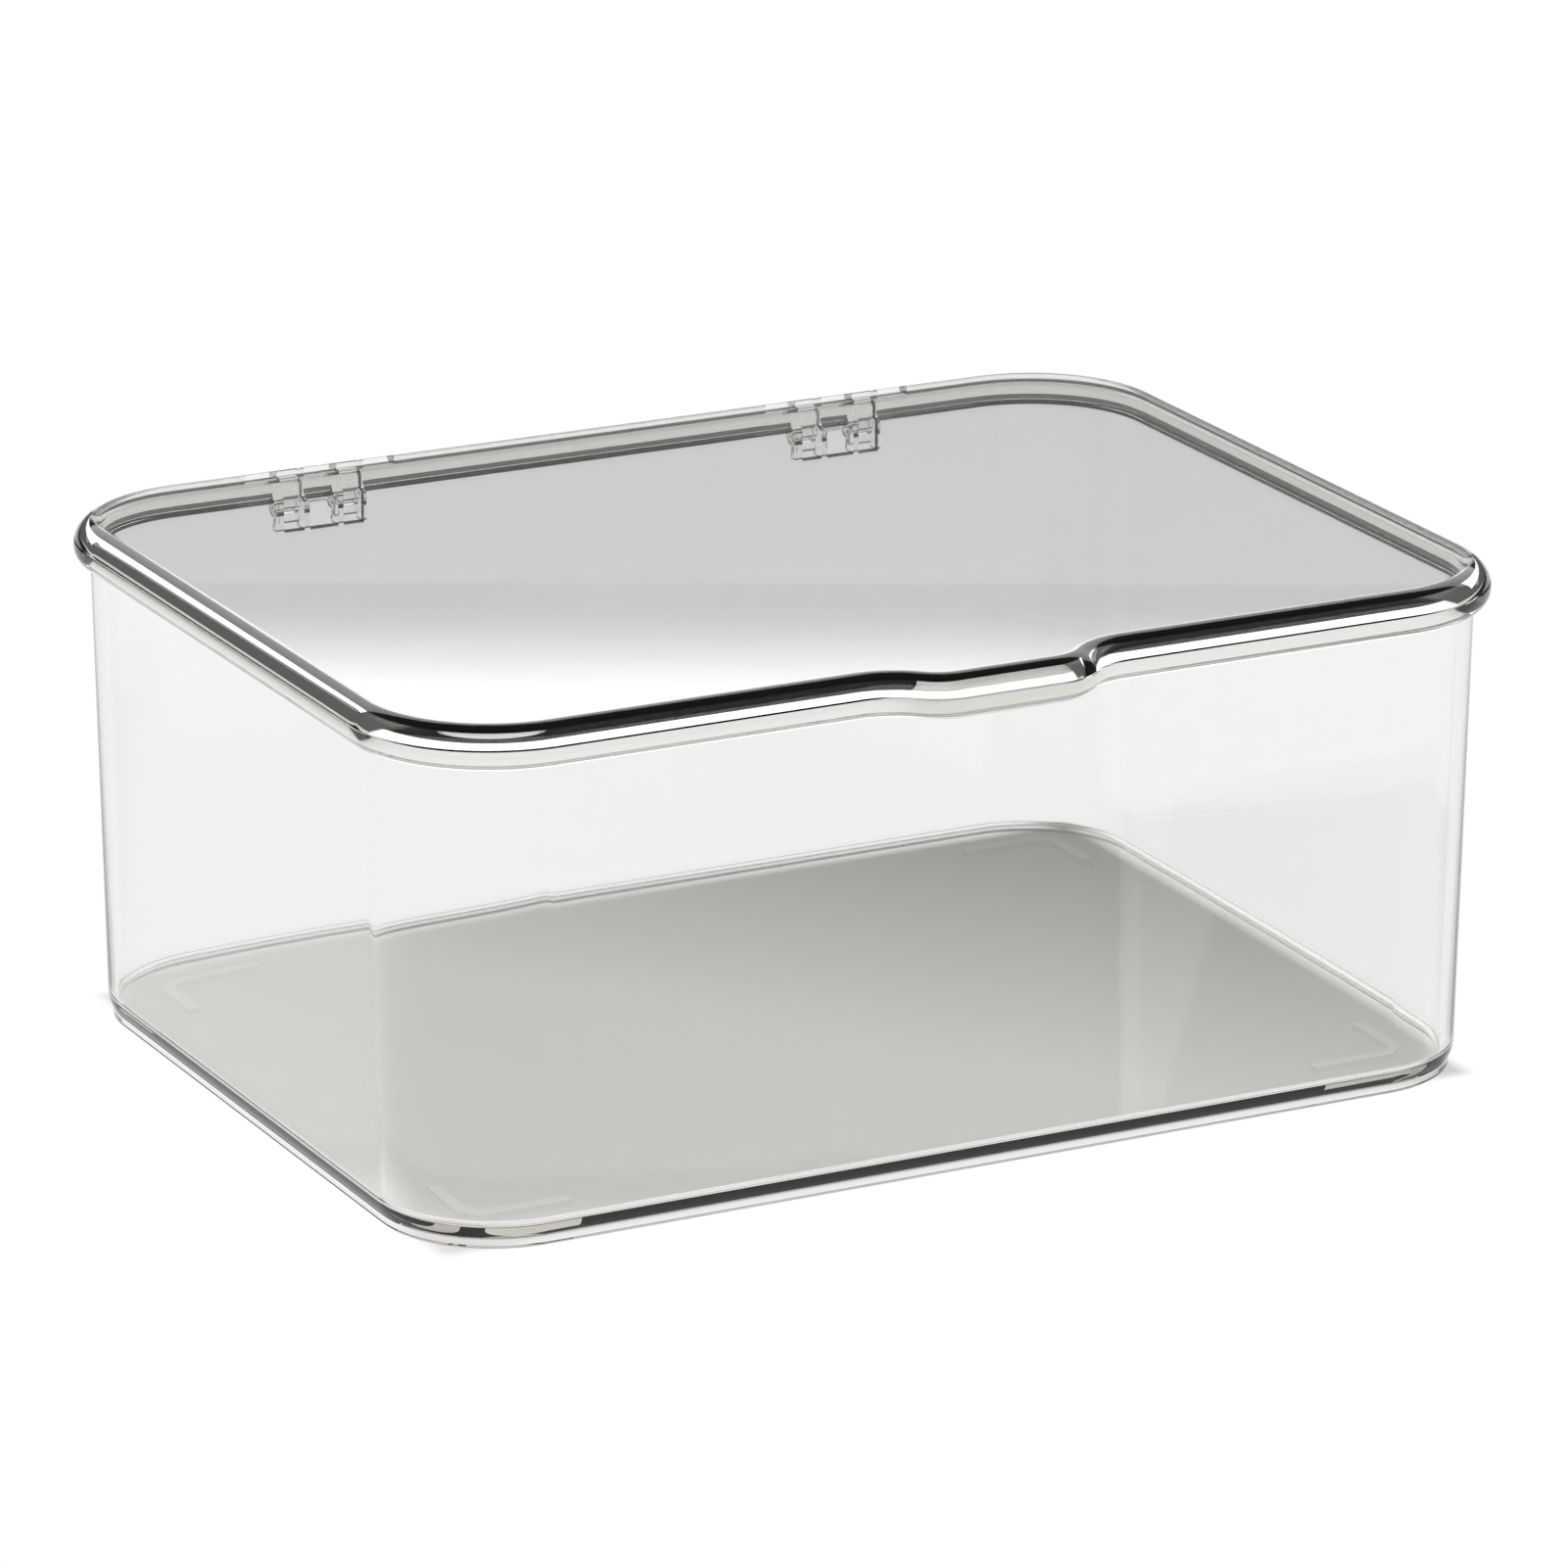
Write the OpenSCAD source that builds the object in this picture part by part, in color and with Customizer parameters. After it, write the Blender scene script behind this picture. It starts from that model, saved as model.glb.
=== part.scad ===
// Clear moulded storage box with a hinged lid and a finger tab.
// Millimetres, +Z up, front towards -Y. The origin lies on the resting
// surface, below the middle of the whole footprint, tab and hinges included.

/* [Box] */
// Length of the rim, along X
box_l = 280; // [220:1:360]
// Depth of the rim, along Y, without the finger tab
box_w = 212; // [170:1:300]
// Height from the resting surface to the top of the rim
box_h = 115; // [70:1:180]
// Plan radius of the rim's corners
corner_r = 34; // [26:1:44]
// Thickness of the upright walls
wall = 2.5; // [2:0.1:3.2]
// How far each wall leans in from the rim down to the base
draft = 1.9; // [0.5:0.1:3]

/* [Rim] */
// How far the rim stands out past the wall
rim_out = 3.8; // [3.2:0.1:4.6]
// Height of the rim's widest line below its top
rim_band = 1.3; // [0.8:0.1:2]
// Radius that rounds the rim's top and the lid's shoulder together
edge_r = 6; // [5.2:0.1:7]

/* [Finger tab] */
// Straight length of the tab's front edge
tab_flat = 24; // [16:1:40]
// How far the tab stands out past the rim
tab_out = 8.4; // [5:0.2:12]
// Length along X of the S-curve on each side of the tab
tab_flank = 21; // [16:1:26]

/* [Lid] */
// Thickness of the lid's flat panel
panel_t = 2.3; // [1.8:0.1:2.8]
// Thickness of the lip under the lid's edge
lip_t = 4.3; // [3.6:0.1:5]

/* [Base] */
// Height of the recessed ring that the box stands on
ring_h = 2.8; // [2.2:0.1:4]
// How far the ring is set in from the foot of the wall
ring_in = 1.1; // [0.6:0.1:1.6]
// Thickness of the ring
ring_t = 2; // [1.5:0.1:2.6]
// Height over which the wall curves in above the ring
base_curve_h = 3.2; // [2:0.1:5]
// How far the wall curves in above the ring
base_curve_in = 0.8; // [0.4:0.1:1]
// Thickness of the floor
floor_t = 2.4; // [1.8:0.1:3]
// Height of the hollow under the floor
hollow_h = 2; // [1.4:0.1:2.6]
// Fillet between the floor and the walls inside
floor_fillet = 2; // [1:0.1:4]
// Length of each corner foot along X
foot_x_l = 25; // [16:1:40]
// Length of each corner foot along Y
foot_y_l = 21; // [14:1:36]
// Width of the foot ribs
foot_t = 2.8; // [2:0.1:4]
// Distance from the rim's edge line to the outside of the feet
foot_in = 21; // [17:1:30]

/* [Hinges] */
// Distance of each hinge's middle from the middle of the box
hinge_x = 68; // [45:1:90]
// Depth of the hinge axis below the rim's top
axis_drop = 6.5; // [6:0.1:7.5]
// Distance of the hinge axis in from the rim's edge line
axis_in = 2; // [1.6:0.1:2.1]
// Diameter of the hinge pins
pin_d = 2.2; // [1.8:0.1:2.4]
// Width of each lid arm
arm_w = 4.6; // [3.6:0.1:6]
// Wall of plastic round the pin, in the arms and the cheeks
eye_wall = 1.1; // [0.9:0.05:1.3]
// Length of the arm's tail below the axis, which stops the lid when open
tail_l = 4.2; // [3.8:0.1:4.4]
// Thickness of the cheeks that hold the pins
cheek_t = 1.4; // [1:0.1:2]
// Open width between the two inner cheeks of a hinge
window_w = 7.2; // [5:0.1:12]
// Depth of the window's sill below the rim's top
sill_drop = 12; // [11.5:0.1:14]
// Width of the notch in the lid's lip beside each arm
notch_w = 8; // [5:0.1:10]

/* [Fits] */
// Gap between the closed lid and the rim
lid_gap = 0.4; // [0.35:0.05:0.6]
// Gap between an arm and the cheeks on its two sides
side_gap = 0.3; // [0.2:0.05:0.5]
// Radial play of the pin in the arm
pin_play = 0.05; // [0.02:0.01:0.1]
// Radial room of the pin in the cheeks, a push fit
pin_room = 0.01; // [0.01:0.005:0.02]

/* [Hidden] */
$fn = 96;
clear_plastic = [0.80, 0.79, 0.77, 0.45];
clear_pin = [0.88, 0.88, 0.86, 0.7];

half_l = box_l / 2;
half_w = box_w / 2;
run_x = half_l - corner_r;
run_y = half_w - corner_r;

// Heights of the edge: its widest line, the lid and the rim's underside
widest_z = box_h - rim_band;
lid_bottom = box_h + lid_gap;
lid_top = widest_z + edge_r;
panel_z = lid_top - panel_t;
rim_low = widest_z - rim_out;

// Insets are measured from the rim's edge line towards the middle
wall_foot_in = rim_out + draft;
ring_out_in = wall_foot_in + ring_in;
wall_foot_z = ring_h + base_curve_h;
base_curve_r = (pow(base_curve_h, 2) + pow(base_curve_in, 2)) / (2 * base_curve_in);
floor_z = hollow_h + floor_t;
rim_root = rim_out + wall / 2;
edge_soft = 0.4;

// The S-curve of the tab: two equal arcs that cross at a hair's breadth short of
// touching, so that each runs on a little way into the other
flank_cross = 0.1;
flank_over_a = 10;
flank_a = 2 * atan(tab_out / (tab_flank + flank_cross));
flank_r = (tab_flank + flank_cross) / (2 * sin(flank_a));
flank_steps = 6;
tab_front = half_w + tab_out;
tab_half = tab_flat / 2;
tab_end = tab_half + tab_flank;

// Hinge layout, measured along X from the middle of a hinge
pin_r = pin_d / 2;
eye_r = pin_r + pin_play + eye_wall;
inner_cheek_x = window_w / 2;
slot_x = inner_cheek_x + cheek_t;
arm_x = slot_x + side_gap;
slot_w = arm_w + 2 * side_gap;
outer_cheek_x = slot_x + slot_w;
hinge_half = outer_cheek_x + cheek_t;
lip_beside_arm = 1.2;

// Hinge layout across the back wall and up
axis_y = half_w - axis_in;
axis_z = box_h - axis_drop;
slot_front_y = half_w - lip_t - 0.1;
arm_front_room = 1;
arm_front_y = slot_front_y + arm_front_room;
arm_back_y = half_w - 0.4;
cheek_back_y = half_w - 0.3;
tail_half = 1.1;
slot_rise = 2.8;
slot_low_z = axis_z + slot_rise;
sill_z = box_h - sill_drop;
window_top_z = rim_low - 0.4;
bite = 0.5;
tab_lap = 0.3;

// Puts the middle of the footprint on the origin
hinge_proud = max(0, axis_y + eye_r - half_w);
shift_y = (tab_out - hinge_proud) / 2;

// Inset of the wall's outer face at height z
function wall_in(z) = rim_out + draft * (rim_low - z) / (rim_low - wall_foot_z);

// A straight run along +X of a section whose x is the inset and y the height;
// the edge line lies on y = 0 and faces -Y
module straight_run(length) {
    rotate([90, 0, 90]) linear_extrude(length) children();
}

// An outer bend about the origin, from facing -Y round to facing +X
module outer_bend(r, a) {
    rotate([0, 0, -90]) rotate_extrude(angle = a) translate([r, 0]) mirror([1, 0]) children();
}

// An inner bend about the origin, whose edge line curves round it from +Y to -X
module inner_bend(r, a) {
    rotate([0, 0, 90]) rotate_extrude(angle = a) translate([r, 0]) children();
}

// Carries a section round the four corners, the two ends and the back
module round_three_sides() {
    for (q = [0:3])
        translate([(q == 0 || q == 1 ? 1 : -1) * run_x, (q == 1 || q == 2 ? 1 : -1) * run_y, 0])
            rotate([0, 0, 90 * q]) outer_bend(corner_r, 90) children();
    for (s = [-1, 1])
        rotate([0, 0, 90 * s]) translate([-run_y, -half_l, 0]) straight_run(2 * run_y) children();
    rotate([0, 0, 180]) translate([-run_x, -half_w, 0]) straight_run(2 * run_x) children();
}

// Carries a section along a plain front
module plain_front() {
    translate([-run_x, -half_w, 0]) straight_run(2 * run_x) children();
}

// Carries a section along the front on both sides of the finger tab
module beside_the_tab() {
    for (s = [0, 1]) mirror([s, 0, 0])
        translate([tab_end, -half_w, 0]) straight_run(run_x - tab_end) children();
}

// Carries a section round the finger tab: out, along and back in
module round_the_tab() {
    bend_a = flank_a + flank_over_a;
    translate([-tab_half, -tab_front, 0]) straight_run(tab_flat) children();
    for (s = [0, 1]) mirror([s, 0, 0]) {
        translate([tab_half, flank_r - tab_front, 0]) outer_bend(flank_r, bend_a) children();
        translate([tab_end, -half_w - flank_r, 0]) inner_bend(flank_r, bend_a) children();
    }
}

// Right half of the tab's outline inset by a margin, from its front to the rim
function flank_points(margin) = concat(
    [for (i = [0:flank_steps]) let (a = flank_a * i / flank_steps)
        [tab_half + (flank_r - margin) * sin(a), flank_r - tab_front - (flank_r - margin) * cos(a)]],
    [for (i = [flank_steps - 1:-1:0]) let (a = flank_a * i / flank_steps)
        [tab_end - (flank_r + margin) * sin(a), (flank_r + margin) * cos(a) - flank_r - half_w]]
);

// The tab's inner part between two heights, inset by a margin, back to back_y
module tab_block(margin, back_y, low, high) {
    right = flank_points(margin);
    last = len(right) - 1;
    left = [for (i = [last:-1:0]) [-right[i][0], right[i][1]]];
    translate([0, 0, low]) linear_extrude(high - low)
        polygon(concat(right, [[tab_end, back_y], [-tab_end, back_y]], left));
}

// Section of the ring, the wall and the edge of the floor
module wall_section() {
    inner_top = wall_in(box_h) + wall;
    inner_low = wall_in(floor_z) + wall;
    polygon([
        [ring_out_in + edge_soft, 0], [ring_out_in, edge_soft], [ring_out_in, ring_h],
        [wall_foot_in + wall, ring_h], [wall_foot_in + wall, wall_foot_z], [wall_foot_in, wall_foot_z],
        [rim_out, rim_low], [rim_out, widest_z], [rim_root, box_h],
        [inner_top - edge_soft, box_h], [inner_top, box_h - edge_soft],
        [inner_low, floor_z], [corner_r, floor_z], [corner_r, hollow_h],
        [ring_out_in + ring_t, hollow_h], [ring_out_in + ring_t, 0]
    ]);
    // Where the wall curves in above the ring
    intersection() {
        translate([wall_foot_in + base_curve_r, wall_foot_z]) circle(base_curve_r);
        translate([wall_foot_in, ring_h]) square([wall, base_curve_h]);
    }
    // Fillet between the wall and the floor
    difference() {
        translate([inner_low - bite, floor_z - bite]) square(floor_fillet + bite);
        translate([inner_low + floor_fillet, floor_z + floor_fillet]) circle(floor_fillet);
    }
}

// Section of the rim
module rim_section() {
    intersection() {
        translate([rim_out, widest_z]) circle(rim_out);
        translate([0, rim_low]) square([rim_out, rim_out]);
    }
    intersection() {
        translate([edge_r, widest_z]) circle(edge_r);
        translate([0, widest_z]) square([edge_r, rim_band]);
    }
    translate([rim_out, rim_low]) square([rim_root - rim_out, rim_out + rim_band]);
}

// Section of the lid's shoulder, its lip and the edge of its panel
module lid_section(root) {
    intersection() {
        translate([edge_r, widest_z]) circle(edge_r);
        union() {
            translate([0, lid_bottom]) square([lip_t, lid_top - lid_bottom]);
            translate([0, panel_z]) square([edge_r, panel_t]);
        }
    }
    polygon([[edge_r - bite, panel_z], [root, panel_z], [root, lid_top], [edge_r - bite, lid_top]]);
}

// An L-shaped rib under one corner of the floor, its outer corner at the origin
module foot() {
    cut = 4;
    turn = cut + foot_t * tan(22.5);
    linear_extrude(hollow_h + bite)
        polygon([
            [-foot_x_l, 0], [-cut, 0], [0, -cut], [0, -foot_y_l],
            [-foot_t, -foot_y_l], [-foot_t, -turn], [-turn, -foot_t], [-foot_x_l, -foot_t]
        ]);
}

// Runs a shape across X from x0, drawn with y along Y and z along Z
module across(x0, width) {
    translate([x0, 0, 0]) rotate([90, 0, 90]) linear_extrude(width) children();
}

// Places what belongs to the two arms of both hinges
module at_each_arm() {
    for (s = [-1, 1], t = [0, 1]) translate([s * hinge_x, 0, 0]) mirror([t, 0, 0]) children();
}

// Openings in the back wall: a window between the cheeks and a slot for each arm
module hinge_openings() {
    back_y = half_w - wall_foot_in - wall - pin_d;
    deep = 2 * (half_w - back_y);
    for (s = [-1, 1])
        translate([s * hinge_x - inner_cheek_x, back_y, sill_z])
            cube([window_w, deep, window_top_z - sill_z]);
    at_each_arm() {
        translate([slot_x, back_y, sill_z]) cube([slot_w, deep, slot_low_z - sill_z]);
        translate([slot_x, slot_front_y, sill_z]) cube([slot_w, deep, box_h]);
    }
}

// One of the plates on both sides of an arm, with its hole for the pin
module cheek(x0) {
    front_y = half_w - wall_in(axis_z) - wall / 2;
    across(x0, cheek_t)
        difference() {
            union() {
                translate([front_y, sill_z]) square([axis_y - front_y, rim_low + bite - sill_z]);
                translate([axis_y, axis_z]) square([cheek_back_y - axis_y, widest_z - axis_z]);
                translate([axis_y, axis_z]) circle(eye_r);
            }
            translate([axis_y, axis_z]) circle(pin_r + pin_room);
        }
}

// The box: floor, walls, rim with its tab, ring, feet and hinge cheeks
module box_body() {
    color(clear_plastic) translate([0, shift_y, 0]) {
        difference() {
            union() {
                round_three_sides() wall_section();
                plain_front() wall_section();
                translate([-run_x, -run_y, hollow_h]) cube([2 * run_x, 2 * run_y, floor_t]);
                round_three_sides() rim_section();
                beside_the_tab() rim_section();
                round_the_tab() rim_section();
                tab_block(rim_root - tab_lap, rim_root - half_w, rim_low, box_h);
                for (sx = [0, 1], sy = [0, 1]) mirror([sx, 0, 0]) mirror([0, sy, 0])
                    translate([half_l - foot_in, half_w - foot_in, 0]) foot();
            }
            hinge_openings();
        }
        at_each_arm() {
            cheek(inner_cheek_x);
            cheek(outer_cheek_x);
        }
    }
}

// The lid: panel, shoulder, lip with its tab, and the four hinge arms
module lid() {
    color(clear_plastic) translate([0, shift_y, 0]) {
        difference() {
            union() {
                round_three_sides() lid_section(corner_r);
                beside_the_tab() lid_section(corner_r);
                round_the_tab() lid_section(edge_r + bite);
                tab_block(edge_r + bite - tab_lap, -run_y, panel_z, lid_top);
                translate([-run_x, -run_y, panel_z]) cube([2 * run_x, 2 * run_y, panel_t]);
            }
            at_each_arm() {
                translate([arm_x + arm_w + lip_beside_arm, half_w - 2 * lip_t, box_h])
                    cube([notch_w, 4 * lip_t, panel_z - box_h]);
                translate([0, half_w - 2 * lip_t, box_h])
                    cube([arm_x - lip_beside_arm, 4 * lip_t, panel_z - box_h]);
            }
        }
        at_each_arm() lid_arm();
    }
}

// An arm under the lid's lip, with the eye for the pin and the stop tail
module lid_arm() {
    across(arm_x, arm_w)
        difference() {
            union() {
                translate([arm_front_y, axis_z]) square([arm_back_y - arm_front_y, panel_z - bite - axis_z]);
                translate([axis_y - tail_half, axis_z - tail_l]) square([2 * tail_half, tail_l]);
                translate([axis_y, axis_z]) circle(eye_r);
            }
            translate([axis_y, axis_z]) circle(pin_r + pin_play);
        }
}

// A round pin across one arm, held in the cheeks on its two sides
module hinge_pin(side, half) {
    color(clear_pin) translate([side * hinge_x, shift_y + axis_y, axis_z]) mirror([half, 0, 0])
        translate([inner_cheek_x, 0, 0]) rotate([0, 90, 0]) cylinder(r = pin_r, h = hinge_half - inner_cheek_x);
}

box_body();
lid();
hinge_pin(-1, 1);  // hinge_pin_1
hinge_pin(-1, 0);  // hinge_pin_2
hinge_pin(1, 1);  // hinge_pin_3
hinge_pin(1, 0);  // hinge_pin_4
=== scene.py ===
"""Clear moulded storage box with a hinged lid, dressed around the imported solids.

Everything is in the frame of the solids: +X along the length, +Y from the finger
tab to the hinges, +Z up, with the resting surface at z = 0. The object's sizes
are written in millimetres from the middle of the box without its tab, and are
brought to metres and to the frame when a mesh is made. The floor and the panel
behind the box are written in metres.
"""
import math

import bmesh
import bpy
import numpy as np
from mathutils import Matrix


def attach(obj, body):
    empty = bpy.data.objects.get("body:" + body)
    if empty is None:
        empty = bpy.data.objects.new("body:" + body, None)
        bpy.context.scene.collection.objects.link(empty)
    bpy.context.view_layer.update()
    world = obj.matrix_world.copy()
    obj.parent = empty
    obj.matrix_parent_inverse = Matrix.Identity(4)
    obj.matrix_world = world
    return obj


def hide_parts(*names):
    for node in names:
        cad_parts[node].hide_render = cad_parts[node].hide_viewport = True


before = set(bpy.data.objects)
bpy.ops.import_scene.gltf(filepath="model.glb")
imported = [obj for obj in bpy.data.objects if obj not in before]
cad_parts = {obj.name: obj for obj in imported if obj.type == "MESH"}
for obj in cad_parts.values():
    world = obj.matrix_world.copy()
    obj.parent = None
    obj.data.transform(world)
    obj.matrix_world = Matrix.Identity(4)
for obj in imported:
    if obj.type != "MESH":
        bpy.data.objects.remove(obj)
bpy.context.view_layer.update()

MM = 0.001

# Box and rim
HALF_L, HALF_W, CORNER = 140.0, 106.0, 34.0
BOX_H, WALL, DRAFT = 115.0, 2.5, 1.9
RIM_OUT, RIM_BAND, EDGE_R = 3.8, 1.3, 6.0
WIDEST = BOX_H - RIM_BAND
RIM_LOW = WIDEST - RIM_OUT
RIM_TOP_IN, MOUTH_BEVEL, MOUTH_BAND = 0.5, 0.4, 1.0
UNDER_RIM_IN, UNDER_RIM_DROP = 0.005, 0.3
# Base: the ring that the box stands on, and the curve from the ring to the wall
RING_H, RING_T, RING_INSET = 2.8, 2.0, 1.1
RING_BEVEL, RING_SOFT = 0.3, 0.4
CURVE_H, CURVE_INSET, CURVE_R, CURVE_TURN = 3.2, 0.8, 6.8, 28.07
WALL_FOOT_IN = RIM_OUT + DRAFT
WALL_FOOT_Z = RING_H + CURVE_H
RING_OUT = WALL_FOOT_IN + RING_INSET
RING_IN = RING_OUT + RING_T
# Floor of the box, and the L-shaped ribs under it
HOLLOW, FLOOR_T, FILLET, FLOOR_BAND = 2.0, 2.4, 2.0, 0.5
FLOOR_TOP = HOLLOW + FLOOR_T
RIB_PLACE, RIB_X, RIB_Y, RIB_T, RIB_CUT, RIB_LAP = 21.0, 25.0, 21.0, 2.8, 4.0, 0.3
# Finger tab
TAB_HALF, TAB_OUT, TAB_FLANK = 12.0, 8.4, 21.0
# Lid
LID_GAP, PANEL_T, LIP = 0.4, 2.3, 4.3
LID_LOW = BOX_H + LID_GAP
LID_TOP = WIDEST + EDGE_R
PANEL_LOW = LID_TOP - PANEL_T
# The flat end faces of the two sections: the box's inset, and the lid's past its lip and shoulder
BOX_CAP_IN, LID_CAP_STEP = 20.0, 0.3

# Hinges, along X from each hinge's middle
HINGE_X = 68.0
WINDOW_HALF, CHEEK_T, SIDE_GAP, ARM_W = 3.6, 1.4, 0.3, 4.6
LIP_BESIDE_ARM, NOTCH_W = 1.2, 8.0
SLOT = (WINDOW_HALF + CHEEK_T, WINDOW_HALF + CHEEK_T + ARM_W + 2 * SIDE_GAP)
ARM = (SLOT[0] + SIDE_GAP, SLOT[1] - SIDE_GAP)
PIN_ENDS = (WINDOW_HALF, SLOT[1] + CHEEK_T)
CHEEKS = ((PIN_ENDS[0], SLOT[0]), (SLOT[1], PIN_ENDS[1]))
NOTCH = (ARM[1] + LIP_BESIDE_ARM, ARM[1] + LIP_BESIDE_ARM + NOTCH_W)
MIDDLE_NOTCH = ARM[0] - LIP_BESIDE_ARM
# Hinges, across and up
AXIS_IN, AXIS_DROP, EYE_WALL = 2.0, 6.5, 1.1
AXIS_Y, AXIS_Z = HALF_W - AXIS_IN, BOX_H - AXIS_DROP
PIN_R, PIN_ROOM, PIN_PLAY, PIN_BEVEL = 1.1, 0.01, 0.05, 0.15
EYE_R = PIN_R + PIN_PLAY + EYE_WALL
SILL_DROP, WINDOW_DROP, SLOT_RISE, SLOT_PAST_LIP = 12.0, 0.4, 2.8, 0.1
SILL, WINDOW_TOP = BOX_H - SILL_DROP, RIM_LOW - WINDOW_DROP
SLOT_LOW, SLOT_FRONT = AXIS_Z + SLOT_RISE, HALF_W - LIP - SLOT_PAST_LIP
ARM_FRONT, ARM_BACK, ARM_LAP = 1.4, 1.6, 0.5
TAIL_HALF, TAIL_L = 1.1, 4.2
CHEEK_BACK, CHEEK_ROOT, CHEEK_TOP, CHEEK_LAP = 1.7, 0.5, 0.2, 0.01
# How far the cutting shapes reach past what they cut
CUT_FRONT, CUT_BACK, CUT_ABOVE = 12.0, 4.0, 3.0
NOTCH_FRONT, NOTCH_BELOW, HOLE_PAST = 2.0, 1.0, 0.2

# The frame's origin is halfway between the tab's front and the backs of the hinge eyes
SHIFT_Y = (TAB_OUT - (AXIS_Y + EYE_R - HALF_W)) / 2

# Smooth shading turns sharp above this angle, in degrees
SHARP = 28.0
# Points on a corner's quarter turn, on each arc of the tab, and on a circle that ends where it starts
CORNER_POINTS, FLANK_POINTS, CIRCLE_POINTS = 33, 18, 33


# Paths and sections

def arc(centre, radius, start, end, count):
    """Points at even angles on a circle: centre + radius * (cos, sin), with the unit radii."""
    a = np.radians(np.linspace(start, end, count))
    out = np.stack([np.cos(a), np.sin(a)], 1)
    return np.array(centre) + radius * out, out


def edge_paths():
    """The rim's edge line with the tab, the plain edge line, and the inward normals of both.

    The tab line runs along the front, turns away from the box on an arc about a point
    outside it, turns back on an equal arc about a point inside it, runs along the
    tab's front, and comes in the same way. The plain line has the same points, with
    those of the front pressed onto a straight line.
    """
    turn = 2 * math.degrees(math.atan(TAB_OUT / TAB_FLANK))
    r = TAB_FLANK / (2 * math.sin(math.radians(turn)))
    front = -HALF_W - TAB_OUT
    end = TAB_HALF + TAB_FLANK
    run_x, run_y = HALF_L - CORNER, HALF_W - CORNER
    tab_pts, tab_in, plain_pts, plain_in = [], [], [], []

    def add(points, inward, flat):
        """One stretch of both lines; flat presses the plain line's points onto the front."""
        tab_pts.append(points)
        tab_in.append(inward)
        if flat:
            plain_pts.append(np.stack([points[:, 0], np.full(len(points), -HALF_W)], 1))
            plain_in.append(np.tile((0.0, 1.0), (len(points), 1)))
        else:
            plain_pts.append(points)
            plain_in.append(inward)

    def straight(a, b, inward, count, flat=False):
        """count points at even steps between a and b, without a and b themselves."""
        t = np.linspace(0, 1, count + 2)[1:-1, None]
        add(np.array(a) * (1 - t) + np.array(b) * t, np.tile(inward, (count, 1)), flat)

    straight((-run_x, -HALF_W), (-end, -HALF_W), (0.0, 1.0), 5, True)
    p, n = arc((-end, -HALF_W - r), r, 90, 90 - turn, FLANK_POINTS)
    add(p, n, True)
    p, n = arc((-TAB_HALF, front + r), r, 270 - turn, 270, FLANK_POINTS)
    add(p[1:], -n[1:], True)
    straight((-TAB_HALF, front), (TAB_HALF, front), (0.0, 1.0), 5, True)
    p, n = arc((TAB_HALF, front + r), r, 270, 270 + turn, FLANK_POINTS)
    add(p, -n, True)
    p, n = arc((end, -HALF_W - r), r, 90 + turn, 90, FLANK_POINTS)
    add(p[1:], n[1:], True)
    straight((end, -HALF_W), (run_x, -HALF_W), (0.0, 1.0), 5, True)
    corners = ((run_x, -run_y, -90), (run_x, run_y, 0), (-run_x, run_y, 90), (-run_x, -run_y, 180))
    sides = (((HALF_L, -run_y), (HALF_L, run_y), (-1.0, 0.0), 6),
             ((run_x, HALF_W), (-run_x, HALF_W), (0.0, -1.0), 10),
             ((-HALF_L, run_y), (-HALF_L, -run_y), (1.0, 0.0), 6))
    for i, (x, y, start) in enumerate(corners):
        p, n = arc((x, y), CORNER, start, start + 90, CORNER_POINTS)
        add(p, -n, False)
        if i < len(sides):
            straight(*sides[i])
    return (np.concatenate(tab_pts), np.concatenate(tab_in),
            np.concatenate(plain_pts), np.concatenate(plain_in))


TAB_LINE, TAB_INWARD, PLAIN_LINE, PLAIN_INWARD = edge_paths()


def tube(rings):
    """Faces from ring to ring, (i, j) to (i + 1, j + 1), and a flat face on the first and the last."""
    m, n = len(rings), len(rings[0])
    index = np.arange(m * n).reshape(m, n)
    ahead = np.roll(index, -1, axis=1)
    quads = np.stack([index[:-1], ahead[:-1], ahead[1:], index[1:]], -1).reshape(-1, 4).tolist()
    return np.concatenate(rings), quads + [index[0].tolist(), index[-1].tolist()]


def carried(section):
    """A section carried round the edge: vertex (i, j) = line_j + inset_i * inward_j at height z_i.

    Each row of the section is (on the tab line or not, inset, height).
    """
    rings = []
    for on_tab, inset, z in section:
        line, inward = (TAB_LINE, TAB_INWARD) if on_tab else (PLAIN_LINE, PLAIN_INWARD)
        flat = line + inset * inward
        rings.append(np.column_stack([flat, np.full(len(flat), z)]))
    return tube(rings)


def prism(outline, low, high, axis):
    """A flat outline run along an axis from low to high, closed at both ends."""
    outline = np.array(outline, float)
    n = len(outline)
    points = []
    for level in (low, high):
        column = np.full(n, level)
        if axis == "x":
            points.append(np.column_stack([column, outline]))
        else:
            points.append(np.column_stack([outline, column]))
    ring = np.arange(n)
    ahead = np.roll(ring, -1)
    faces = np.stack([ring, ahead, ahead + n, ring + n], -1).tolist()
    return np.concatenate(points), faces + [ring[::-1].tolist(), (ring + n).tolist()]


def joined(parts):
    """Several meshes as one list of points and faces."""
    points, faces, start = [], [], 0
    for p, f in parts:
        points.append(p)
        faces += [[start + i for i in face] for face in f]
        start += len(p)
    return np.concatenate(points), faces


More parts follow.
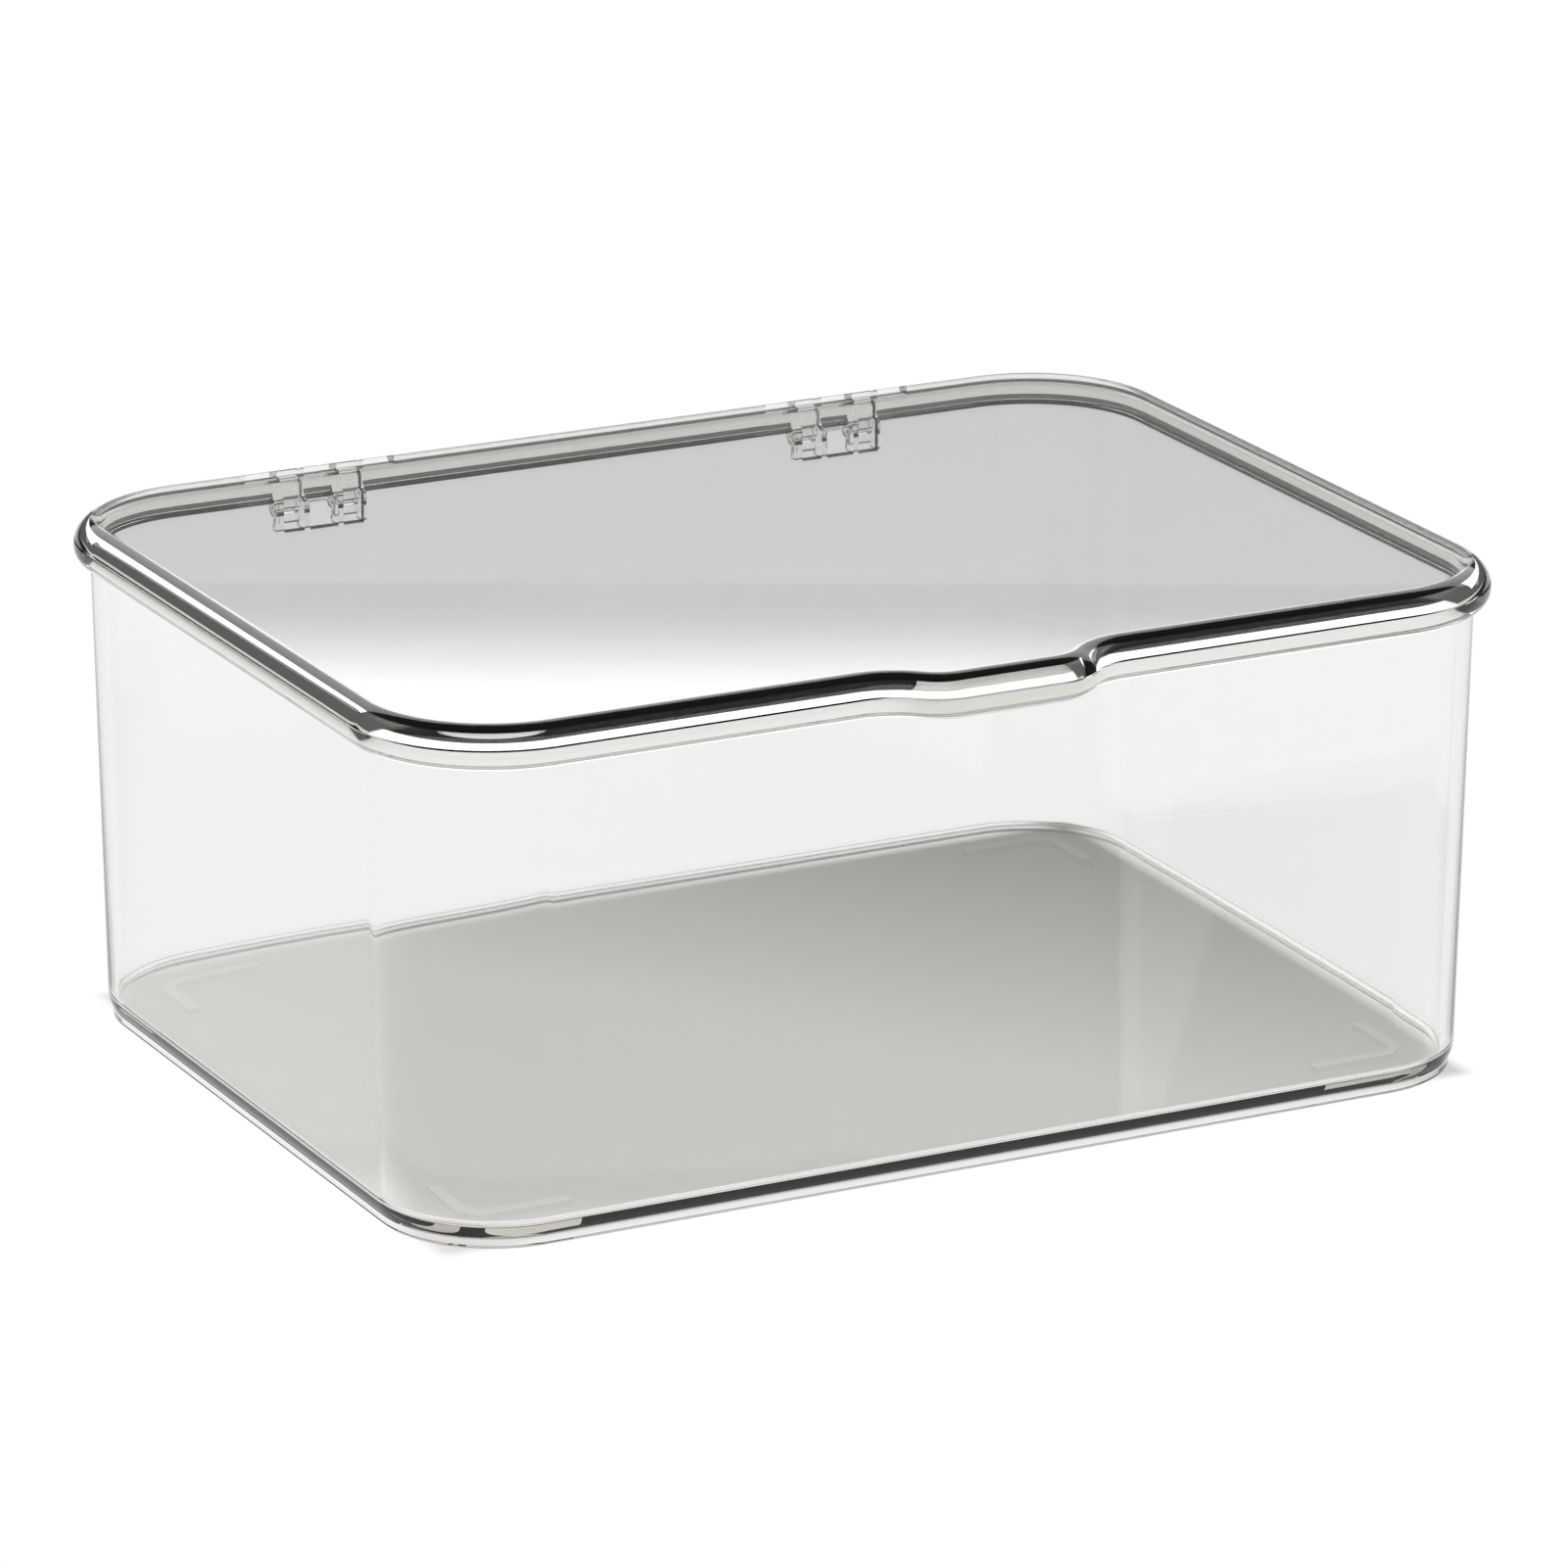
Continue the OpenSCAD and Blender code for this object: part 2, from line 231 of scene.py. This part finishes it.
def as_object(name, shape):
    """A mesh object from points in millimetres, doubles merged and faces turned outwards."""
    points, faces = shape
    points = (np.array(points) + np.array([0.0, SHIFT_Y, 0.0])) * MM
    mesh = bpy.data.meshes.new(name)
    mesh.from_pydata(points.tolist(), [], faces)
    tidy = bmesh.new()
    tidy.from_mesh(mesh)
    bmesh.ops.remove_doubles(tidy, verts=tidy.verts, dist=1e-6)
    bmesh.ops.dissolve_degenerate(tidy, edges=tidy.edges, dist=1e-7)
    bmesh.ops.recalc_face_normals(tidy, faces=tidy.faces)
    tidy.to_mesh(mesh)
    tidy.free()
    made = bpy.data.objects.new(name, mesh)
    bpy.context.scene.collection.objects.link(made)
    return made


def combine(body, tool, operation):
    """body joined with, or cut by, tool, with the result kept as body's mesh."""
    step = body.modifiers.new("combine", "BOOLEAN")
    step.operation = operation
    step.solver = "EXACT"
    step.object = tool
    graph = bpy.context.evaluated_depsgraph_get()
    result = bpy.data.meshes.new_from_object(body.evaluated_get(graph))
    body.modifiers.clear()
    body.data = result
    bpy.data.objects.remove(tool)


def finish_piece(piece, material, body, nodes):
    """Smooth shading up to SHARP degrees, the material, the body that a piece rides on, and the nodes
    that it replaces.
    """
    mesh = piece.data
    mesh.materials.clear()
    mesh.materials.append(material)
    mesh.polygons.foreach_set("use_smooth", np.ones(len(mesh.polygons), bool))
    mesh.set_sharp_from_angle(angle=math.radians(SHARP))
    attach(piece, body)
    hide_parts(*nodes)


# The box and its lid

def box_section():
    """Outline of the box's wall: under the floor, round the ring, up to the rim, down to the floor.

    The outer face leans in by DRAFT from the rim's underside down to the wall's foot,
    and the inner face follows it at WALL. The rim's rows lie on the tab line.
    """
    lean = (WALL_FOOT_IN - RIM_OUT) / (RIM_LOW - WALL_FOOT_Z)

    def inner(z):
        """Inset of the wall's inner face at a height."""
        return RIM_OUT + lean * (RIM_LOW - z) + WALL

    rows = [(0, BOX_CAP_IN, HOLLOW), (0, RING_IN + RING_BEVEL, HOLLOW),
            (0, RING_IN, HOLLOW - RING_BEVEL), (0, RING_IN, RING_BEVEL),
            (0, RING_IN - RING_BEVEL, 0.0), (0, RING_OUT + RING_SOFT, 0.0),
            (0, RING_OUT, RING_SOFT), (0, RING_OUT, RING_H), (0, WALL_FOOT_IN + CURVE_INSET, RING_H)]
    for a in np.radians(np.linspace(CURVE_TURN, 0, 8))[1:]:
        rows.append((0, WALL_FOOT_IN + CURVE_R * (1 - math.cos(a)), WALL_FOOT_Z - CURVE_R * math.sin(a)))
    rows += [(0, RIM_OUT + UNDER_RIM_IN, RIM_LOW - UNDER_RIM_DROP),
             (0, RIM_OUT, RIM_LOW), (1, RIM_OUT, RIM_LOW)]
    for a in np.radians(np.linspace(270, 180, 13))[1:]:
        rows.append((1, RIM_OUT + RIM_OUT * math.cos(a), WIDEST + RIM_OUT * math.sin(a)))
    top = math.asin((BOX_H - WIDEST) / EDGE_R)
    for a in np.linspace(0, top, 5)[1:]:
        rows.append((1, EDGE_R * (1 - math.cos(a)), WIDEST + EDGE_R * math.sin(a)))
    rows += [(1, RIM_TOP_IN, BOX_H), (0, inner(BOX_H) - MOUTH_BEVEL, BOX_H),
             (0, inner(BOX_H), BOX_H - MOUTH_BEVEL),
             (0, inner(BOX_H - MOUTH_BAND), BOX_H - MOUTH_BAND)]
    low = inner(FLOOR_TOP + FILLET)
    for a in np.radians(np.linspace(180, 270, 9)):
        rows.append((0, low + FILLET * (1 + math.cos(a)), FLOOR_TOP + FILLET * (1 + math.sin(a))))
    return rows + [(0, low + FILLET + FLOOR_BAND, FLOOR_TOP), (0, BOX_CAP_IN, FLOOR_TOP)]


def lid_section():
    """Outline of the lid from its underside, round the lip and the shoulder's arc, to its top."""
    rows = [(1, LIP + LID_CAP_STEP, PANEL_LOW), (1, LIP, PANEL_LOW), (1, LIP, LID_LOW)]
    start = math.asin((LID_LOW - WIDEST) / EDGE_R)
    for a in np.linspace(start, math.pi / 2, 14):
        rows.append((1, EDGE_R * (1 - math.cos(a)), WIDEST + EDGE_R * math.sin(a)))
    return rows + [(1, EDGE_R + LID_CAP_STEP, LID_TOP)]


def both_ways(x0, x1):
    """The span x0 to x1 on both sides of both hinges' middles."""
    return [(h + min(s * x0, s * x1), h + max(s * x0, s * x1))
            for h in (-HINGE_X, HINGE_X) for s in (-1, 1)]


def round_end(r, start, end, count=24):
    """Part of a circle about the hinge axis."""
    return arc((AXIS_Y, AXIS_Z), r, start, end, count)[0].tolist()


def hole_outline(r):
    """A whole circle about the hinge axis."""
    return round_end(r, 0, 360, CIRCLE_POINTS)[:-1]


def angle_at(dy, r, up):
    """Angle on the eye's circle where its offset along Y is dy, above or below the axis."""
    a = math.degrees(math.acos(dy / r))
    return a if up else -a


def block(x0, x1, y0, y1, z0, z1):
    """A block between two corners."""
    return prism([(x0, y0), (x1, y0), (x1, y1), (x0, y1)], z0, z1, "z")


def middle_blocks(half, y_span, z_span):
    """A block on the middle of each hinge."""
    return [block(h - half, h + half, *y_span, *z_span) for h in (-HINGE_X, HINGE_X)]


def rib(sx, sy):
    """An L-shaped rib: two legs that meet in a corner cut at 45 degrees."""
    t, cut = RIB_T, RIB_CUT
    turn = cut + t * math.tan(math.radians(22.5))
    plan = np.array([(-RIB_X, 0), (-cut, 0), (0, -cut), (0, -RIB_Y),
                     (-t, -RIB_Y), (-t, -turn), (-turn, -t), (-RIB_X, -t)])
    plan = (plan + (HALF_L - RIB_PLACE, HALF_W - RIB_PLACE)) * (sx, sy)
    return prism(plan, 0.0, HOLLOW + RIB_LAP, "z")


def make_box():
    """The carried section and ribs, less windows and slots in the back wall, plus cheeks with holes."""
    body = as_object("box_shell", carried(box_section()))
    ribs = [rib(sx, sy) for sx in (-1, 1) for sy in (-1, 1)]
    combine(body, as_object("ribs", joined(ribs)), "UNION")
    y_span = (HALF_W - CUT_FRONT, HALF_W + CUT_BACK)
    cuts = middle_blocks(WINDOW_HALF, y_span, (SILL, WINDOW_TOP))
    slot = [(y_span[0], SILL), (y_span[1], SILL), (y_span[1], BOX_H + CUT_ABOVE),
            (SLOT_FRONT, BOX_H + CUT_ABOVE), (SLOT_FRONT, SLOT_LOW), (y_span[0], SLOT_LOW)]
    cuts += [prism(slot, x0, x1, "x") for x0, x1 in both_ways(*SLOT)]
    combine(body, as_object("windows", joined(cuts)), "DIFFERENCE")
    front = HALF_W - RIM_OUT - WALL / 2
    side = angle_at(CHEEK_BACK, EYE_R, True)
    outline = ([(front, SILL - CHEEK_LAP), (AXIS_Y, SILL - CHEEK_LAP)]
               + round_end(EYE_R, -90, side)
               + [(AXIS_Y + CHEEK_BACK, WIDEST - CHEEK_TOP), (AXIS_Y - CHEEK_ROOT, WIDEST - CHEEK_TOP),
                  (AXIS_Y - CHEEK_ROOT, RIM_LOW + CHEEK_ROOT), (front, RIM_LOW + CHEEK_ROOT)])
    plates = [prism(outline, x0, x1, "x") for c in CHEEKS for x0, x1 in both_ways(*c)]
    combine(body, as_object("cheeks", joined(plates)), "UNION")
    hole = hole_outline(PIN_R + PIN_ROOM)
    holes = [prism(hole, x0 - HOLE_PAST, x1 + HOLE_PAST, "x") for c in CHEEKS for x0, x1 in both_ways(*c)]
    combine(body, as_object("cheek_holes", joined(holes)), "DIFFERENCE")
    return body


def make_lid():
    """The carried section less the notches beside the arms, plus the arms with tails and eyes."""
    lid = as_object("lid_shell", carried(lid_section()))
    y_span = (HALF_W - LIP - NOTCH_FRONT, HALF_W + CUT_BACK)
    z_span = (LID_LOW - NOTCH_BELOW, PANEL_LOW)
    cuts = [block(x0, x1, *y_span, *z_span) for x0, x1 in both_ways(*NOTCH)]
    cuts += middle_blocks(MIDDLE_NOTCH, y_span, z_span)
    combine(lid, as_object("lip_notches", joined(cuts)), "DIFFERENCE")
    tail_back, arm_back = angle_at(TAIL_HALF, EYE_R, False), angle_at(ARM_BACK, EYE_R, True)
    arm_front, tail_front = angle_at(-ARM_FRONT, EYE_R, True), 360 - angle_at(-TAIL_HALF, EYE_R, True)
    outline = ([(AXIS_Y - TAIL_HALF, AXIS_Z - TAIL_L), (AXIS_Y + TAIL_HALF, AXIS_Z - TAIL_L)]
               + round_end(EYE_R, tail_back, arm_back)
               + [(AXIS_Y + ARM_BACK, PANEL_LOW - ARM_LAP), (AXIS_Y - ARM_FRONT, PANEL_LOW - ARM_LAP)]
               + round_end(EYE_R, arm_front, tail_front))
    arms = [prism(outline, x0, x1, "x") for x0, x1 in both_ways(*ARM)]
    combine(lid, as_object("arms", joined(arms)), "UNION")
    hole = hole_outline(PIN_R + PIN_PLAY)
    eyes = [prism(hole, x0 - HOLE_PAST, x1 + HOLE_PAST, "x") for x0, x1 in both_ways(*ARM)]
    combine(lid, as_object("eyes", joined(eyes)), "DIFFERENCE")
    return lid


def make_pin(name, hinge, side):
    """A round pin: a circle about the hinge axis run along X, with small bevels at its ends."""
    near, far = PIN_ENDS
    small = PIN_R - PIN_BEVEL
    rings = []
    for x, r in ((near, small), (near + PIN_BEVEL, PIN_R), (far - PIN_BEVEL, PIN_R), (far, small)):
        circle = np.array(hole_outline(r))
        rings.append(np.column_stack([np.full(len(circle), hinge + side * x), circle]))
    return as_object(name, tube(rings))


# Materials

def clear_plastic(name, tint, density, ior):
    """Moulded plastic that tints light along its depth, with a faint flow pattern in gloss and height."""
    material = bpy.data.materials.new(name)
    material.use_nodes = True
    tree = material.node_tree
    links = tree.links
    shader = tree.nodes["Principled BSDF"]
    shader.inputs["Base Color"].default_value = (1.0, 1.0, 1.0, 1.0)
    shader.inputs["Transmission Weight"].default_value = 1.0
    shader.inputs["IOR"].default_value = ior
    place = tree.nodes.new("ShaderNodeTexCoord")
    flow = tree.nodes.new("ShaderNodeTexNoise")
    flow.inputs["Scale"].default_value = 14.0
    flow.inputs["Detail"].default_value = 3.0
    links.new(place.outputs["Object"], flow.inputs["Vector"])
    gloss = tree.nodes.new("ShaderNodeMapRange")
    gloss.inputs["From Min"].default_value = 0.35
    gloss.inputs["From Max"].default_value = 0.7
    gloss.inputs["To Min"].default_value = 0.0
    gloss.inputs["To Max"].default_value = 0.03
    links.new(flow.outputs["Fac"], gloss.inputs["Value"])
    links.new(gloss.outputs["Result"], shader.inputs["Roughness"])
    bump = tree.nodes.new("ShaderNodeBump")
    bump.inputs["Strength"].default_value = 0.03
    bump.inputs["Distance"].default_value = 0.0004
    links.new(flow.outputs["Fac"], bump.inputs["Height"])
    links.new(bump.outputs["Normal"], shader.inputs["Normal"])
    volume = tree.nodes.new("ShaderNodeVolumeAbsorption")
    volume.inputs["Color"].default_value = tint
    volume.inputs["Density"].default_value = density
    links.new(volume.outputs["Volume"], tree.nodes["Material Output"].inputs["Volume"])
    return material


def floor_material():
    """A floor that gives its own white light, with a painted shadow under the box.

    The painted shadow fills the inside of the base ring. It goes from light to dark
    as the dot product of the place and towards goes from 0 to reach, in metres.
    """
    # Painted shadow: the two greys of the shadow painted under the box, paler at the front left and
    # deeper at the back right
    pale_painted_shadow, deep_painted_shadow = (0.76, 0.75, 0.73, 1.0), (0.34, 0.33, 0.315, 1.0)
    towards, reach, edge = (1.0, 0.8, 0.0), 0.2, 0.004
    material = bpy.data.materials.new("pale_floor")
    material.use_nodes = True
    tree = material.node_tree
    links = tree.links
    shader = tree.nodes["Principled BSDF"]
    shader.inputs["Base Color"].default_value = (0.02, 0.02, 0.02, 1.0)
    shader.inputs["Roughness"].default_value = 1.0
    shader.inputs["Specular IOR Level"].default_value = 0.0
    shader.inputs["Emission Strength"].default_value = 1.0
    place = tree.nodes.new("ShaderNodeTexCoord")
    split = tree.nodes.new("ShaderNodeSeparateXYZ")
    links.new(place.outputs["Object"], split.inputs[0])

    def inside(axis, centre, half):
        """1 within half of centre along an axis, falling to 0 over the last edge metres."""
        away = tree.nodes.new("ShaderNodeMath")
        away.operation = "SUBTRACT"
        links.new(split.outputs[axis], away.inputs[0])
        away.inputs[1].default_value = centre
        size = tree.nodes.new("ShaderNodeMath")
        size.operation = "ABSOLUTE"
        links.new(away.outputs[0], size.inputs[0])
        fade = tree.nodes.new("ShaderNodeMapRange")
        fade.inputs["From Min"].default_value = half - edge
        fade.inputs["From Max"].default_value = half
        fade.inputs["To Min"].default_value = 1.0
        fade.inputs["To Max"].default_value = 0.0
        links.new(size.outputs[0], fade.inputs["Value"])
        return fade

    # Painted shadow: the grey is laid only inside the base ring, where the box's shadow would fall
    both = tree.nodes.new("ShaderNodeMath")
    both.operation = "MULTIPLY"
    links.new(inside("X", 0.0, (HALF_L - RING_IN) * MM).outputs[0], both.inputs[0])
    links.new(inside("Y", SHIFT_Y * MM, (HALF_W - RING_IN) * MM).outputs[0], both.inputs[1])
    mix = tree.nodes.new("ShaderNodeMix")
    mix.data_type = "RGBA"
    mix.inputs["A"].default_value = (1.0, 1.0, 1.0, 1.0)
    slope = tree.nodes.new("ShaderNodeMapRange")
    slope.inputs["From Min"].default_value = 0.0
    slope.inputs["From Max"].default_value = reach
    corner = tree.nodes.new("ShaderNodeVectorMath")
    corner.operation = "DOT_PRODUCT"
    corner.inputs[1].default_value = towards
    links.new(place.outputs["Object"], corner.inputs[0])
    links.new(corner.outputs["Value"], slope.inputs["Value"])
    shade = tree.nodes.new("ShaderNodeMix")
    shade.data_type = "RGBA"
    shade.inputs["A"].default_value = pale_painted_shadow
    shade.inputs["B"].default_value = deep_painted_shadow
    links.new(slope.outputs[0], shade.inputs["Factor"])
    links.new(both.outputs[0], mix.inputs["Factor"])
    links.new(shade.outputs["Result"], mix.inputs["B"])
    links.new(mix.outputs["Result"], shader.inputs["Emission Color"])
    return material


moulded = clear_plastic("clear_moulded_plastic", tint=(0.77, 0.755, 0.72, 1.0), density=78.0, ior=1.5)
pin_plastic = clear_plastic("clear_pin_plastic", tint=(0.80, 0.80, 0.77, 1.0), density=40.0, ior=1.5)

finish_piece(make_box(), moulded, "box", ["box_body"])
finish_piece(make_lid(), moulded, "lid", ["lid"])
pin_places = ((-HINGE_X, -1), (-HINGE_X, 1), (HINGE_X, -1), (HINGE_X, 1))
for number, (hinge, side) in enumerate(pin_places, 1):
    pin = make_pin(f"pin_{number}", hinge, side)
    finish_piece(pin, pin_plastic, "box", [f"hinge_pin_{number}"])


# Floor and studio

# Half the floor's side, and the way that the camera looks along the floor, rounded
FLOOR_HALF = 5
LOOKING = (0.457, 0.889)


def panel(name, corners, material):
    """A flat four-sided face through four corners, in metres, that only dresses the studio."""
    mesh = bpy.data.meshes.new(name)
    mesh.from_pydata([tuple(c) for c in corners], [], [(0, 1, 2, 3)])
    mesh.materials.append(material)
    made = bpy.data.objects.new(name, mesh)
    bpy.context.scene.collection.objects.link(made)


def glow(name, low, high, strength):
    """A lit white cloth, dark below one height and fully lit above another, both in metres."""
    material = bpy.data.materials.new(name)
    material.use_nodes = True
    shader = material.node_tree.nodes["Principled BSDF"]
    shader.inputs["Base Color"].default_value = (0.0, 0.0, 0.0, 1.0)
    shader.inputs["Emission Color"].default_value = (1.0, 1.0, 1.0, 1.0)
    tree = material.node_tree
    place = tree.nodes.new("ShaderNodeTexCoord")
    split = tree.nodes.new("ShaderNodeSeparateXYZ")
    fade = tree.nodes.new("ShaderNodeMapRange")
    fade.interpolation_type = "SMOOTHSTEP"
    fade.inputs["From Min"].default_value = low
    fade.inputs["From Max"].default_value = high
    fade.inputs["To Max"].default_value = strength
    tree.links.new(place.outputs["Object"], split.inputs[0])
    tree.links.new(split.outputs["Z"], fade.inputs["Value"])
    tree.links.new(fade.outputs[0], shader.inputs["Emission Strength"])
    return material


def across_the_back(distance, wide, low, high):
    """Corners of an upright panel behind the box, square to the way that the camera looks."""
    away = np.array(LOOKING)
    side = np.array([LOOKING[1], -LOOKING[0]])
    left, right = away * distance - side * wide / 2, away * distance + side * wide / 2
    return [(*left, low), (*right, low), (*right, high), (*left, high)]


panel("floor", [(-FLOOR_HALF, -FLOOR_HALF, 0), (FLOOR_HALF, -FLOOR_HALF, 0),
                (FLOOR_HALF, FLOOR_HALF, 0), (-FLOOR_HALF, FLOOR_HALF, 0)], floor_material())
panel("back_softbox", across_the_back(distance=1.0, wide=2.4, low=0.43, high=1.1),
      glow("back_cloth", low=0.435, high=0.485, strength=1.9))

world = bpy.data.worlds.new("studio")
bpy.context.scene.world = world
world.use_nodes = True
world.node_tree.nodes["Background"].inputs["Color"].default_value = (0.14, 0.14, 0.135, 1.0)
world.node_tree.nodes["Background"].inputs["Strength"].default_value = 1.0

# Camera

# Solved from the photograph's outline for a box 300 mm long, then scaled; angles in degrees
SOLVED_L, SOLVED_H = 300.0, 123.271
SOLVED_AWAY, SOLVED_RIGHT, SOLVED_UP = 2183.3, 1.817, 3.175
YAW, PITCH, ROLL = -27.17, 18.015, 0.142
FOCAL_PX, IMAGE_PX, SENSOR = 9070.5, 1601.0, 36.0
SOLVED_TO_REAL = 2 * HALF_L / SOLVED_L * MM
yaw, pitch, roll = math.radians(YAW), math.radians(PITCH), math.radians(ROLL)
back = np.array([math.sin(yaw) * math.cos(pitch), -math.cos(yaw) * math.cos(pitch), math.sin(pitch)])
right = np.cross(-back, (0.0, 0.0, 1.0))
right /= np.linalg.norm(right)
up = np.cross(right, -back)
right, up = (math.cos(roll) * right + math.sin(roll) * up,
             -math.sin(roll) * right + math.cos(roll) * up)
place = np.array([0.0, 0.0, SOLVED_H / 2]) + back * SOLVED_AWAY + right * SOLVED_RIGHT + up * SOLVED_UP
place = place * SOLVED_TO_REAL + np.array([0.0, SHIFT_Y * MM, 0.0])
camera = bpy.data.cameras.new("camera")
camera.sensor_width = SENSOR
camera.lens = FOCAL_PX / IMAGE_PX * SENSOR
camera.clip_end = 50.0
viewer = bpy.data.objects.new("camera", camera)
bpy.context.scene.collection.objects.link(viewer)
matrix = Matrix.Identity(4)
for row in range(3):
    matrix[row][0], matrix[row][1] = right[row], up[row]
    matrix[row][2], matrix[row][3] = back[row], place[row]
viewer.matrix_world = matrix
bpy.context.scene.camera = viewer
bpy.context.scene.view_settings.view_transform = "Standard"
bpy.context.scene.cycles.transmission_bounces = 24
bpy.context.scene.cycles.max_bounces = 28
